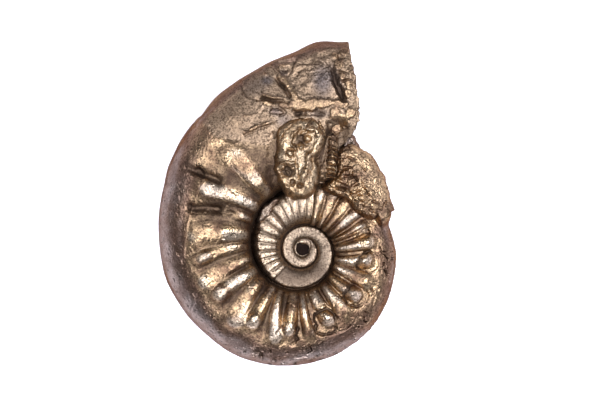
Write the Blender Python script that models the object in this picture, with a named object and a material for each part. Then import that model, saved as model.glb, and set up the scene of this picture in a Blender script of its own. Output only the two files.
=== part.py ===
"""A pyritised ammonite: one coiled fossil shell, lying on its side as it rests on a table.

The coil axis stands near upright and the finer side faces up (+Z). Lengths are millimetres in the constants
and metres in the scene. A turn is the angle of coiling in degrees: 0 at the broken mouth, negative inwards.
The shell is one closed skin. Each whorl is a strip along the spiral, from its inner seam to its outer seam,
and the outer seam of a strip is the inner seam of the next whorl, so neighbouring whorls share their edge.
"""

import math

import bmesh
import bpy
import numpy as np
from mathutils import Matrix, Vector

MM = 0.001
WHORL = 360.0

# The coil
MOUTH_DIRECTION = 80.0
SEAM_RADIUS = 6.93
SEAM_GROWTH = 0.00239
SEAM_WOBBLE = 0.07
SEAM_WOBBLE_TURN = 560.0
BODY_TURN = -100.0
BODY_RADIUS = 15.74
BODY_GROWTH = 0.00243
MOUTH_FLARE = 0.153
BODY_HALF_BREADTH = 4.51
BREADTH_GROWTH = 0.0022
SEAM_LIFT = 0.34
WALL_POWER = 0.55
VENTER_POWER = 0.90

# The relief
RIB_HEIGHT = 0.50
RIB_WIDTH = 4.4
KNOB_HEIGHT = 0.32
KNOB_WIDTH = 0.12
INNER_RIB_SHARE = 0.45
SEAM_GROOVE = 0.30
# Each rib of the last whorl: its turn at the umbilical edge, how far it leans back, how far out it reaches
# as a share of the whorl's height, and whether it ends in a knob.
RIBS = (
    (-43.0, 4.0, 0.62, False), (-58.0, 2.0, 0.50, False), (-68.0, 1.0, 0.66, False),
    (-84.0, 5.0, 0.68, False), (-94.5, 8.0, 0.57, True), (-107.0, 9.0, 0.70, False),
    (-121.5, 4.5, 0.57, True), (-133.5, 10.0, 0.72, False), (-150.0, 3.0, 0.55, True),
    (-160.0, 10.0, 0.68, False), (-177.0, 2.0, 0.53, True), (-188.0, 5.0, 0.62, False),
    (-203.0, 6.0, 0.52, True), (-219.0, 4.0, 0.64, False), (-236.0, 4.0, 0.52, True),
    (-252.0, 2.0, 0.64, False), (-265.0, 7.0, 0.56, True), (-284.0, 4.5, 0.66, False),
    (-296.0, 5.0, 0.70, False), (-309.5, 5.5, 0.80, False), (-325.5, 3.0, 0.80, False),
    (-338.0, 4.0, 0.80, False), (-351.0, 3.0, 0.80, False),
)
INNER_RIBS_FROM = -363.0
INNER_RIBS_TO = -512.0
INNER_RIB_STEP = 11.0

# The broken mouth: how far the flank runs on past the mouth line, in degrees, by share of whorl height
BREAK_REACH = ((0.0, 0.0), (0.34, 1.0), (0.42, 9.0), (0.50, 12.5), (0.60, 9.8), (0.80, 5.0), (1.0, 1.5))
BREAK_FROM = -30.0
BREAK_DENT = 0.25

# The crust that a lost piece of whorl has left on the next whorl in: its outer radius and its directions
CRUST_RADIUS = 10.7
CRUST_RADIUS_STEP = 0.062
CRUST_FROM = 21.0
CRUST_SWELL = 1.12
CRUST_SWELL_STEP = 0.0085
# Lumps: direction in degrees from +X, radius from the coil axis, half widths round the coil and outwards,
# and height. The underside has them lower.
LUMPS = (
    (95.0, 10.4, 2.8, 3.9, 1.1), (92.0, 7.6, 2.2, 1.5, 0.7), (86.0, 13.0, 1.6, 1.6, 0.7),
    (101.5, 11.2, 1.3, 1.5, 0.5), (89.0, 16.6, 1.7, 1.7, 0.5), (84.0, 20.5, 1.4, 1.4, 0.4),
    (77.0, 9.4, 1.4, 1.7, 1.2), (71.0, 12.1, 1.4, 1.3, 1.5), (66.0, 9.0, 1.3, 1.2, 1.0),
    (57.5, 11.2, 1.5, 1.3, 1.1), (52.0, 8.9, 1.3, 1.1, 0.8), (43.0, 9.9, 1.4, 1.3, 0.9),
    (32.0, 9.2, 1.3, 1.2, 0.7),
)
UNDERSIDE_LUMPS = 0.2

# The mesh
STEPS_PER_WHORL = 118
START_TURN = -860.0
START_FADE = 110.0
FLANK_STRIPS = 5
VENTER_STRIPS = 6
END_FACE_STRIPS = 5
END_FACE_BULGE = 1.2
PIT_RADIUS = 0.72
PIT_DEPTH = 0.9

# How it rests: the lean of the coil axis, and how much the lowest points are worn flat
LEAN_ABOUT_X = 2.5
LEAN_ABOUT_Y = 2.36
REST_WEAR = 0.16


def smooth(low, high, value):
    """0 below low, 1 above high and an even S curve between them."""
    share = np.clip((value - low) / (high - low), 0.0, 1.0)
    return share * share * (3.0 - 2.0 * share)


def seam_radius(turn):
    """The umbilical seam: a logarithmic spiral with a slow wobble."""
    wobble = 1.0 + SEAM_WOBBLE * np.cos(2 * math.pi * (turn + SEAM_WOBBLE_TURN) / SEAM_WOBBLE_TURN)
    return SEAM_RADIUS * np.exp(SEAM_GROWTH * turn) * wobble


def outer_radius(turn):
    """The outline: a logarithmic spiral that flares towards the mouth."""
    flare = np.maximum(0.0, (turn - BODY_TURN) / -BODY_TURN)
    return BODY_RADIUS * np.exp(BODY_GROWTH * (turn - BODY_TURN) + MOUTH_FLARE * flare**2)


def half_breadth(turn):
    """Half the thickness of the whorl."""
    return BODY_HALF_BREADTH * np.exp(BREADTH_GROWTH * (turn - BODY_TURN))


def section(turn):
    """Centre radius, radial half width and the seam's angle of the whorl's cross section."""
    seam_angle = math.asin(SEAM_LIFT ** (1.0 / WALL_POWER))
    reach = (outer_radius(turn) - seam_radius(turn)) / (1.0 + math.cos(seam_angle))
    return outer_radius(turn) - reach, reach, seam_angle


def section_angles(turn, flank_strips, venter_strips):
    """Angles round the cross section, from the inner seam past the outer seam to the outer edge."""
    centre, reach, seam_angle = section(turn)
    cosine = np.clip((centre - seam_radius(turn + WHORL)) / reach, -0.95, 0.2)
    outer_seam = np.arccos(cosine)
    flank = np.linspace(0.0, 1.0, flank_strips + 1)
    venter = np.linspace(0.0, 1.0, venter_strips + 1)[1:]
    first = seam_angle + (outer_seam - seam_angle)[:, None] * flank
    rest = outer_seam[:, None] + (math.pi - outer_seam)[:, None] * venter
    return np.concatenate([first, rest], axis=1)


def rib_relief(turn, share):
    """Height of the ribs and knobs at a turn and a share of the whorl's height."""
    relief = np.zeros(np.broadcast(turn, share).shape)
    for root, lean, reach, knobbed in RIBS:
        crest = root - lean * np.clip((share - 0.10) / 0.5, 0.0, 1.0)
        along = smooth(0.05, 0.18, share) * (1.0 - smooth(reach - 0.10, reach + 0.12, share))
        relief = np.maximum(relief, RIB_HEIGHT * np.exp(-(((turn - crest) / RIB_WIDTH) ** 2)) * along)
        if knobbed:
            away = ((turn - root + lean) / RIB_WIDTH) ** 2 + ((share - reach + 0.03) / KNOB_WIDTH) ** 2
            relief = relief + KNOB_HEIGHT * np.exp(-away)
    for root in np.arange(INNER_RIBS_FROM, INNER_RIBS_TO, -INNER_RIB_STEP):
        crest = root - 4.0 * share
        ridge = RIB_HEIGHT * INNER_RIB_SHARE * np.exp(-(((turn - crest) / (0.9 * RIB_WIDTH)) ** 2))
        relief = np.maximum(relief, ridge * smooth(0.05, 0.2, share))
    return relief


def mouth_reach(turn, share):
    """How far the flank runs on round the coil at the broken mouth, in degrees."""
    shares, degrees = zip(*BREAK_REACH)
    return np.interp(share, shares, degrees) * smooth(BREAK_FROM, 0.0, turn)


def crusted(turn, angle, outer_seam, radius, height):
    """Radius and height with the crust on the outer part of the whorl that carries it, squarer than the whorl."""
    direction = MOUTH_DIRECTION - turn - WHORL
    reach = CRUST_RADIUS + CRUST_RADIUS_STEP * (direction - CRUST_FROM) - outer_radius(turn)
    sector = np.where(turn < -WHORL / 2, smooth(CRUST_FROM - 7.0, CRUST_FROM + 2.0, direction), 0.0)
    outward = np.clip((angle - outer_seam) / (math.pi - outer_seam), 0.0, 1.0)
    swell = CRUST_SWELL + CRUST_SWELL_STEP * (direction - CRUST_FROM)
    square = half_breadth(turn) * swell * (1.0 - outward**4) ** 0.5
    blend = sector * smooth(0.0, 0.25, outward)
    return radius + reach * sector * outward, height + (square - height) * blend


def lump_lift(x, y):
    """Height of the crystal lumps over a point of the plan."""
    lift = np.zeros(x.shape)
    for direction, radius, width, length, height in LUMPS:
        cosine, sine = math.cos(math.radians(direction)), math.sin(math.radians(direction))
        outward = (x * cosine + y * sine - radius) / length
        around = (y * cosine - x * sine) / width
        lift += height * np.exp(-((outward**2 + around**2) ** 2.4))
    return lift


def side_points(turns, side):
    """The points of one side of the coil, one row for each turn and one column across the whorl."""
    angle = section_angles(turns, FLANK_STRIPS, VENTER_STRIPS)
    turn = turns[:, None]
    centre, reach, _ = section(turn)
    outer_seam = angle[:, FLANK_STRIPS : FLANK_STRIPS + 1]
    radius = centre - reach * np.cos(angle)
    power = np.where(angle < math.pi / 2, WALL_POWER, VENTER_POWER)
    height = half_breadth(turn) * np.maximum(np.sin(angle), 0.0) ** power
    radius, height = crusted(turn, angle, outer_seam, radius, height)
    share = (radius - seam_radius(turn)) / (outer_radius(turn) - seam_radius(turn))
    direction = np.radians(MOUTH_DIRECTION - turn - mouth_reach(turn, share))
    points = np.stack([radius * np.cos(direction), radius * np.sin(direction), height], axis=-1)
    across = np.gradient(points, axis=1)
    along = np.gradient(points, axis=0)
    normal = np.cross(across, along)
    normal /= np.linalg.norm(normal, axis=-1, keepdims=True)
    normal *= np.sign(normal[..., 2:3] + (normal[..., 2:3] == 0))
    normal[:, -1, 2] = 0.0
    relief = rib_relief(turn, share)
    relief -= BREAK_DENT * smooth(-48.0, -34.0, turn) * smooth(0.06, 0.2, share) * (1 - smooth(0.8, 0.95, share))
    relief[:, 0] -= SEAM_GROOVE * np.minimum(1.0, half_breadth(turns) / BODY_HALF_BREADTH)
    points += normal * relief[..., None]
    lump_share = 1.0 if side > 0 else UNDERSIDE_LUMPS
    points[..., 2] += lump_share * lump_lift(points[..., 0], points[..., 1]) * np.sin(angle) ** 0.5
    points[:, -1, 2] = 0.0
    outer = points[STEPS_PER_WHORL:, :1]
    begun = smooth(START_TURN, START_TURN + START_FADE, turns)[: len(outer), None, None]
    points[: len(outer), :FLANK_STRIPS] = outer + (points[: len(outer), :FLANK_STRIPS] - outer) * begun
    return points * [1.0, 1.0, side]


def zipped(first, second):
    """Triangles between two edges with different numbers of points and the same ends."""
    m, n = len(first) - 1, len(second) - 1
    faces = []
    i = j = 0
    while i < m or j < n:
        if j == n or (i < m and (i + 1) / m <= (j + 1) / n):
            faces.append((first[i], first[i + 1], second[j]))
            i += 1
        else:
            faces.append((first[i], second[j + 1], second[j]))
            j += 1
    return [face for face in faces if len(set(face)) == 3]


class Skin:
    """Points and faces of the closed skin as it is put together."""

    def __init__(self):
        self.points = []
        self.faces = []

    def add(self, point):
        self.points.append(Vector(point))
        return len(self.points) - 1

    def strip(self, first, second):
        """Quads between two rows of the same length."""
        for k in range(len(first) - 1):
            face = tuple(dict.fromkeys((first[k], first[k + 1], second[k + 1], second[k])))
            if len(face) > 2:
                self.faces.append(face)


def add_side(skin, points, edge, last_whorl):
    """Adds one side of the coil and returns its table of point numbers. The outer edge is shared by both sides."""
    rows, columns = points.shape[:2]
    table = np.full((rows, columns), -1)
    for i in range(1, rows):
        width = columns - 1 if i >= last_whorl else FLANK_STRIPS
        for k in range(width):
            if k != FLANK_STRIPS or i != last_whorl:
                table[i, k] = skin.add(points[i, k])
    table[: last_whorl + 1, FLANK_STRIPS] = table[rows - 1 - last_whorl :, 0][: last_whorl + 1]
    table[0] = table[STEPS_PER_WHORL, 0]
    table[last_whorl:, -1] = edge
    for i in range(rows - 1):
        width = columns if i >= last_whorl else FLANK_STRIPS + 1
        skin.strip(list(table[i, :width]), list(table[i + 1, :width]))
    return table


def add_pit(skin, table, side):
    """Closes the middle of the umbilicus with a small pit, where the first chamber has fallen out."""
    loop = list(table[: STEPS_PER_WHORL + 1, 0])
    rim = min(abs(skin.points[k].z) for k in loop)
    for width, depth in ((PIT_RADIUS, 0.0), (PIT_RADIUS * 0.8, PIT_DEPTH * 0.8)):
        ring = []
        for k in loop[:-1]:
            flat = Vector((skin.points[k].x, skin.points[k].y, 0.0)).normalized() * width
            ring.append(skin.add((flat.x, flat.y, side * (rim - depth))))
        ring.append(ring[0])
        skin.strip(loop, ring)
        loop = ring
    floor = skin.add((0.0, 0.0, side * (rim - PIT_DEPTH)))
    for k in range(len(loop) - 1):
        skin.faces.append((loop[k], loop[k + 1], floor))


def add_end_face(skin, upper, lower, last_whorl):
    """Closes the broken mouth, from the last section inwards to the whorl that it wraps."""
    section_edge = list(upper[-1]) + list(lower[-1, -2::-1])
    inner_edge = list(upper[last_whorl, FLANK_STRIPS:]) + list(lower[last_whorl, -2 : FLANK_STRIPS - 1 : -1])
    inner_points = np.array([skin.points[k] for k in inner_edge])
    shares = np.linspace(0.0, 1.0, len(inner_edge))
    growth = math.radians(MOUTH_DIRECTION) - math.pi / 2
    forward = Vector((math.cos(growth), math.sin(growth), 0.0))
    row = section_edge
    for step in range(1, END_FACE_STRIPS):
        blend = step / END_FACE_STRIPS
        bulge = END_FACE_BULGE * math.sin(math.pi * blend)
        new_row = [section_edge[0]]
        for k, outer in enumerate(section_edge[1:-1], start=1):
            across = k / (len(section_edge) - 1)
            inner = Vector([np.interp(across, shares, inner_points[:, axis]) for axis in range(3)])
            point = skin.points[outer].lerp(inner, blend)
            point += forward * bulge * math.sin(math.pi * across)
            new_row.append(skin.add(point))
        new_row.append(section_edge[-1])
        skin.strip(row, new_row)
        row = new_row
    skin.faces += zipped(row, inner_edge)


def shell_skin():
    """The closed skin of the whole fossil in the frame of its coil, in millimetres."""
    step = WHORL / STEPS_PER_WHORL
    rows = round(-START_TURN / step) + 1
    turns = (np.arange(rows) - (rows - 1)) * step
    last_whorl = rows - 1 - STEPS_PER_WHORL
    skin = Skin()
    upper_points = side_points(turns, 1.0)
    lower_points = side_points(turns, -1.0)
    edge = [skin.add(point) for point in upper_points[last_whorl:, -1]]
    upper = add_side(skin, upper_points, edge, last_whorl)
    lower = add_side(skin, lower_points, edge, last_whorl)
    add_pit(skin, upper, 1.0)
    add_pit(skin, lower, -1.0)
    add_end_face(skin, upper, lower, last_whorl)
    return skin


def pyrite():
    """Pyrite with a bronze tarnish, polished by handling."""
    material = bpy.data.materials.new("tarnished_pyrite")
    material.use_nodes = True
    shader = material.node_tree.nodes["Principled BSDF"]
    shader.inputs["Base Color"].default_value = (0.36, 0.25, 0.14, 1.0)
    shader.inputs["Metallic"].default_value = 1.0
    shader.inputs["Roughness"].default_value = 0.32
    return material


def wear_flat(solid, height):
    """Cuts away what lies below a height and closes the cuts with flat faces."""
    geometry = solid.verts[:] + solid.edges[:] + solid.faces[:]
    bmesh.ops.bisect_plane(
        solid, geom=geometry, plane_co=(0, 0, height), plane_no=(0, 0, -1), clear_outer=True
    )
    bmesh.ops.holes_fill(solid, edges=[e for e in solid.edges if e.is_boundary], sides=0)


def build_ammonite():
    """The fossil as one object, leaning as it rests, with its footprint centred on the origin."""
    skin = shell_skin()
    lean = Matrix.Rotation(math.radians(LEAN_ABOUT_X), 3, "X") @ Matrix.Rotation(math.radians(LEAN_ABOUT_Y), 3, "Y")
    solid = bmesh.new()
    verts = [solid.verts.new(lean @ point * MM) for point in skin.points]
    for face in skin.faces:
        solid.faces.new([verts[k] for k in face])
    bmesh.ops.recalc_face_normals(solid, faces=solid.faces[:])
    lowest = min(v.co.z for v in solid.verts)
    wear_flat(solid, lowest + REST_WEAR * MM)
    bmesh.ops.triangulate(solid, faces=solid.faces[:])
    corners = np.array([v.co for v in solid.verts])
    low, high = corners.min(axis=0), corners.max(axis=0)
    shift = Vector((-(low[0] + high[0]) / 2, -(low[1] + high[1]) / 2, -low[2]))
    bmesh.ops.translate(solid, vec=shift, verts=solid.verts[:])
    mesh = bpy.data.meshes.new("ammonite")
    solid.to_mesh(mesh)
    solid.free()
    mesh.shade_smooth()
    mesh.set_sharp_from_angle(angle=math.radians(50))
    mesh.materials.append(pyrite())
    ammonite = bpy.data.objects.new("ammonite", mesh)
    bpy.context.scene.collection.objects.link(ammonite)


def main():
    for obj in list(bpy.data.objects):
        bpy.data.objects.remove(obj)
    build_ammonite()


main()
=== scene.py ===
"""The looks of a pyritised ammonite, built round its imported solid.

The shell is worked out again as a finer skin along the same spiral, and the broken mouth, the crystal lumps and
the crust are finer pieces set into it. Shapes are worked out in millimetres about the centre of the coil, with
the coil axis along Z, and are then leaned and placed as the solid rests.
"""

import math

import bmesh
import bpy
import numpy as np
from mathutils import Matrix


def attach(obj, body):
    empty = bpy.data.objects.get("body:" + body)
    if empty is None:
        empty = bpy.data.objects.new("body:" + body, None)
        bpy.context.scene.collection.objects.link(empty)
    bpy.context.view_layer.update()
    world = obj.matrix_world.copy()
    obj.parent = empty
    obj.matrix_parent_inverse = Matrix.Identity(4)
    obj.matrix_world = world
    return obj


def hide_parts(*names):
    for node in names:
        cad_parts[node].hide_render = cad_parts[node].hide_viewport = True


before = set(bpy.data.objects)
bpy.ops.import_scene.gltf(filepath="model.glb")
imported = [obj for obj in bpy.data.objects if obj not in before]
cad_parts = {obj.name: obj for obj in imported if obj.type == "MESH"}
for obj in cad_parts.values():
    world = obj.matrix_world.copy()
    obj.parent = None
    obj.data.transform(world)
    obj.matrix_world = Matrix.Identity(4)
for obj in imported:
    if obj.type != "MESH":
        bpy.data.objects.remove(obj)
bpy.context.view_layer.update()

bl_info = {
    "name": "Pyritised ammonite",
    "version": (1, 0, 0),
    "blender": (4, 5, 0),
    "location": "View3D > Sidebar > Ammonite",
    "description": "Builds the looks of an ammonite fossil round its packed solid",
    "category": "Object",
}

MM = 0.001
WHORL = 360.0

# The coil, as in the solid: its centre in the row frame, and the lean of its axis
COIL_CENTRE = (2.82, -5.07, 4.81)
LEAN_ABOUT_X = 2.5
LEAN_ABOUT_Y = 2.36
MOUTH_DIRECTION = 80.0
SEAM_RADIUS = 6.93
SEAM_GROWTH = 0.00239
SEAM_WOBBLE = 0.07
SEAM_WOBBLE_TURN = 560.0
BODY_TURN = -100.0
BODY_RADIUS = 15.74
BODY_GROWTH = 0.00243
MOUTH_FLARE = 0.153
BODY_HALF_BREADTH = 4.51
BREADTH_GROWTH = 0.0022
SEAM_LIFT = 0.34
WALL_POWER = 0.55
VENTER_POWER = 0.90
MOUTH_SQUARENESS = 0.30
BREAK_REACH = ((0.0, 0.0), (0.34, 1.0), (0.42, 9.0), (0.50, 12.5), (0.60, 9.8), (0.80, 5.0), (1.0, 1.5))
BREAK_FROM = -30.0
# Swelling of the outline before the mouth: height, turn and half width in degrees
SHOULDER = (0.55, -7.5, 4.5)
CRUST_RADIUS = 10.4
CRUST_RADIUS_STEP = 0.062
CRUST_FROM = 21.0
CRUST_SWELL = 1.12
CRUST_SWELL_STEP = 0.0085
START_TURN = -1080.0
START_FADE = 90.0
PIT_FLOOR = 0.03
UNDERSIDE_RIBS = 0.75

# Ribs of the last whorl: turn at the umbilical edge, backward lean, reach outwards as a share of the whorl's
# height, half width in degrees, and the height of the knob at its end
RIBS = (
    (-43, 4, 0.6, 4.6, 0), (-58, 8, 0.66, 3.9, 0), (-69.5, 4, 0.22, 3.2, 0),
    (-84, 6.5, 0.66, 5.4, 0.12), (-95, 8, 0.58, 3.4, 0.28), (-107, 9, 0.66, 4.2, 0.14),
    (-121.5, 4.5, 0.57, 4.8, 0.3), (-133.5, 10, 0.68, 4.8, 0.16), (-150, 3.5, 0.56, 4.4, 0.34),
    (-160, 10, 0.66, 3.8, 0.1), (-177, 2, 0.54, 4, 0.36), (-188, 5, 0.6, 2.8, 0),
    (-203, 8, 0.52, 4.6, 0.36), (-220.5, 3, 0.6, 4.4, 0), (-236, 4, 0.52, 4.4, 0.36),
    (-253, 1, 0.6, 4.2, 0.06), (-265, 7, 0.55, 4.6, 0.36), (-284, 4.5, 0.62, 4.4, 0.14),
    (-294, 4, 0.62, 2.4, 0), (-300, 4, 0.62, 2.4, 0), (-312.5, 4.5, 0.74, 4.2, 0),
    (-325.5, 3, 0.78, 4.4, 0), (-338, 4, 0.78, 3.8, 0), (-351, 3, 0.8, 4.2, 0),
)
# Directions of the ribs of the whorl inside it, and their lean
INNER_RIBS = (81, 91.5, 101.5, 111, 121, 134.5, 147, 161.5, 173, 185, 195, 205.5, 217)
INNER_RIB_LEAN = 3.0
INNER_RIB_SHARE = 0.46

# Fine skins over the coil: turns from and to, shares across from and to, rows and columns
SKINS = {
    "broken_flank": (-51.2, 0, 0.04, 1.93, 240, 270),
    "left_flank": (-206, -48.8, 0.05, 1.8, 400, 190),
    "right_flank": (-302, -206, 0.06, 1.93, 260, 200),
}
SKIN_BED = 0.75
DEEPEST = -0.65

# Marks on the flank, in millimetres from the coil axis, +X to the right and +Y towards the mouth: the points a
# line runs through, its half width and its height. A height below 0 is a groove or a crack.
FLANK_LINES = (
    (((-9.2, 4.6), (-10.5, 4.8), (-12.3, 4.8)), 0.45, -0.6),
    (((-7.4, 4.1), (-9.2, 4.6)), 0.35, -0.2),
    (((-9.3, 7.75), (-10.4, 8.2), (-11.6, 8.8)), 0.45, -0.65),
    (((-11.6, 8.8), (-12.9, 9.2)), 0.35, -0.25),
    (((-10.6, 8), (-11.5, 6.7), (-12.3, 4.9), (-12.7, 3.2), (-12.9, 1.1), (-13.1, -1.1)), 0.08, 0.1),
    (((-10, -3.2), (-11.6, -4.6), (-12.6, -6.8)), 0.09, -0.1),
    (((-2.2, -11.4), (-1, -11.8), (0.4, -11.6)), 0.08, -0.14),
    (((3, -9.9), (4.6, -9.6), (6, -9.6)), 0.08, -0.12),
    (((7.3, -4.1), (7.6, -4.5), (7.8, -5), (7.6, -5.8)), 0.08, -0.34),
    (((6.9, -4.4), (7.2, -5), (7.1, -5.6)), 0.08, -0.34),
    (((8.3, 0.4), (8.5, -0.2), (8.9, -0.6), (9.2, -1)), 0.08, -0.34),
    (((8.8, -2.1), (9.1, -2.6), (9.4, -2.6)), 0.09, -0.3),
    (((3.4, -8.3), (3.8, -8.8), (4.4, -8.6), (5, -8.1)), 0.08, -0.34),
    (((6.7, -6.7), (7.2, -6.9), (7.3, -7.4), (6.9, -7.9), (6.6, -7.6)), 0.08, -0.34),
    (((0.6, -10.3), (0.9, -10.9), (0.4, -11.2)), 0.09, -0.3),
)
# Where the outer skin has flaked off round a knob: direction, radius, half width in degrees and half length
FLAKED = (
    (259, 9.1, 6.8, 1.3), (286.5, 8, 9, 1.45), (319.5, 7.35, 9.2, 1.25), (350.5, 7.05, 9.2, 1.15),
    (17, 6.8, 3.5, 0.7),
)
# The edge of the broken plates, where the outer layer ends
PLATE_EDGE = ((-13, 16.5), (-11.2, 14.3), (-9.9, 13), (-9, 12.1), (-7.4, 11.8), (-5.9, 11.4), (-4, 11.7),
              (-2.5, 13.5))
PLATE_DROP = 0.12
MOUTH_LINES = (
    (((4.2, 22.2), (2.4, 21.9), (0, 21.6), (-1.7, 20.9), (-3.3, 20.5), (-5.4, 19.6), (-6.6, 18.6)), 0.3, 0.26),
    (((4.4, 22.8), (1.8, 22.5), (-0.7, 21.8)), 0.14, -0.1),
    (((-3.9, 20.3), (-2.9, 19.3), (-1.9, 18.2), (-1, 16.8)), 0.34, 0.42),
    (((-3.1, 18.9), (-2.4, 18), (-1.6, 16.9)), 0.16, -0.42),
    (((-3.2, 20.4), (-2.2, 20.6), (-1, 20.7), (-1.4, 19.6), (-1.9, 18.9), (-2.7, 19.6), (-3.2, 20.4)), 0.13, -0.3),
    (((-2.7, 20.1), (-1.7, 20.15)), 0.12, 0.28),
    (((-0.9, 20.3), (0.6, 20.6), (1.6, 20.5), (2.4, 20.1)), 0.12, -0.22),
    (((2.5, 20.2), (3, 19.6), (3.3, 18.7), (3.8, 17.4), (4.15, 16.5)), 0.3, -0.85),
    (((3.7, 21.9), (3.75, 20.8)), 0.16, -0.35),
    (((4.85, 20.6), (5.2, 18.2), (5.5, 16), (5.75, 14.1)), 0.2, 0.12),
    (((5, 20.2), (5.3, 17.5), (5.6, 14.8)), 0.08, -0.22),
    (((-0.9, 15.1), (0.9, 15.1), (2.2, 14.9), (2.6, 13.9)), 0.25, -0.4),
    (((-7, 18.4), (-6.6, 17.2), (-5.6, 16.6), (-4.6, 16.5)), 0.14, -0.2),
    (((-4.7, 16.7), (-3.6, 16.4), (-2.4, 16.3), (-1.7, 16.2)), 0.13, -0.38),
    (((-4.6, 17), (-3.4, 16.7), (-2.2, 16.6)), 0.16, 0.16),
    (((-4.2, 16.1), (-3.2, 15.9), (-1.9, 15.8)), 0.2, 0.26),
    (((-6.5, 14.75), (-5.7, 14.85), (-5, 15.05)), 0.12, 0.2),
    (((-6.5, 13), (-5.2, 13.6), (-3.6, 14.2)), 0.15, 0.26),
    (((-6.5, 12.7), (-5.2, 13.3), (-3.8, 13.8)), 0.12, -0.16),
    (((-4.1, 14.9), (-3.6, 15.6), (-2.6, 15.6), (-2.1, 15.1), (-2.6, 14.75), (-4.1, 14.9)), 0.11, -0.22),
    (((-0.7, 14.8), (-2.2, 14.3), (-3.2, 13.5), (-3.5, 12.2), (-3.6, 10.4), (-3.5, 8.2)), 0.6, -0.22),
    (((-7.9, 15.9), (-7.5, 14.9), (-7.9, 13.9)), 0.08, 0.05),
    (((-8.6, 15.6), (-8, 14.6), (-8.6, 13.7)), 0.08, 0.04),
)
# Lumps and hollows: place, half widths, turn of the longer axis in degrees, and height, or for the notch shade the
# strength of its painted shade
NOTCH_SHADE = ((3.9, 10.4, 0.8, 2.4, 0, 1), (8.9, 4.2, 0.8, 0.6, 0, 0.8))
NOTCH_HOLLOW = ((3.5, 12.3, 1.15, 2.1, -8, -1.35),)
MOUTH_LUMPS = (
    (-1.3, 16, 0.55, 0.42, 10, 0.32), (-0.5, 16.1, 0.5, 0.45, -15, 0.36), (0.3, 16, 0.5, 0.45, 20, 0.34),
    (1.1, 16.2, 0.5, 0.42, -30, 0.4), (1.9, 16.1, 0.5, 0.48, 40, 0.5), (2.6, 16.2, 0.4, 0.4, 0, 0.32),
    (0.8, 15.6, 0.45, 0.3, 0, 0.22), (-0.8, 15.6, 0.45, 0.28, 0, 0.2), (-2.3, 15.9, 0.4, 0.3, 30, 0.3),
    (4.1, 16.1, 0.5, 0.45, 0, 0.45), (3.3, 15, 0.5, 0.55, 0, 0.52), (4.25, 14.3, 0.5, 0.6, 20, 0.52),
    (4.9, 15.1, 0.45, 0.5, 0, 0.42), (3.4, 16.1, 0.4, 0.4, 0, 0.32), (3.9, 13.4, 0.35, 0.4, 0, 0.3),
    (3.7, 20.3, 0.45, 0.6, 0, 0.38), (4.1, 19, 0.4, 0.38, 0, 0.42), (4.7, 18.2, 0.35, 0.36, 0, 0.42),
    (4.6, 17.2, 0.4, 0.5, 0, 0.36), (4.3, 21.6, 0.5, 0.4, 0, 0.3), (3.3, 21.2, 0.4, 0.35, 30, 0.3),
    (3.95, 21.1, 0.32, 0.3, 0, -0.4), (4, 19.5, 0.5, 0.12, 0, -0.35), (4.4, 18.6, 0.45, 0.11, 20, -0.35),
    (-2.3, 19.75, 0.9, 0.5, -5, -0.22), (-3.2, 15.2, 0.8, 0.42, -10, 0.2), (-4.2, 19.2, 0.22, 0.22, 0, 0.28),
    (-6.5, 18.5, 0.3, 0.15, 40, 0.1), (-8.1, 17.2, 0.25, 0.15, 40, 0.08), (-1.7, 20.8, 0.4, 0.2, 20, 0.15),
    (-0.2, 19.3, 0.4, 0.35, 30, 0.14), (0.5, 18.4, 0.5, 0.4, 50, 0.16), (0, 17.8, 0.4, 0.3, 0, 0.16),
    (1.5, 17.9, 0.6, 0.3, -30, 0.1), (1.7, 19.4, 0.7, 0.5, 60, -0.12), (-7.5, 14, 1.5, 2, 30, 0.14),
)
# Greyer patches of the broken flank, and patches that stay smooth: place, half widths, turn and strength
GREY_PATCHES = (
    (1.95, 18.6, 1.15, 1.75, 0, 0.9), (-4, 18.6, 0.7, 0.5, 0, 0.7), (-3.1, 15.2, 0.8, 0.5, -10, 0.6),
    (-2.3, 14.3, 0.9, 0.6, 20, 0.6), (-2.3, 19.4, 0.5, 0.4, 0, 0.5), (1.6, 15, 1.2, 0.5, 0, 0.5),
    (3.4, 18.6, 0.5, 1.8, 20, 0.6), (-5.2, 17.9, 1.6, 0.9, 20, 0.35),
)
SMOOTH_PATCHES = (
    (-5.3, 17.8, 1.5, 0.95, 20, 1), (-7.4, 14.6, 1.9, 2.3, 20, 1), (-2.5, 18.6, 2.1, 0.35, -50, 1),
    (0.9, 21.8, 3, 0.3, 14, 0.4),
)
# The round plate near the mouth: place, radius, how far it lies below and how far its rim stands up
ROUND_PLATE = (0.87, 18.8, 2.15, 0.18, 0.1)

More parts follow.
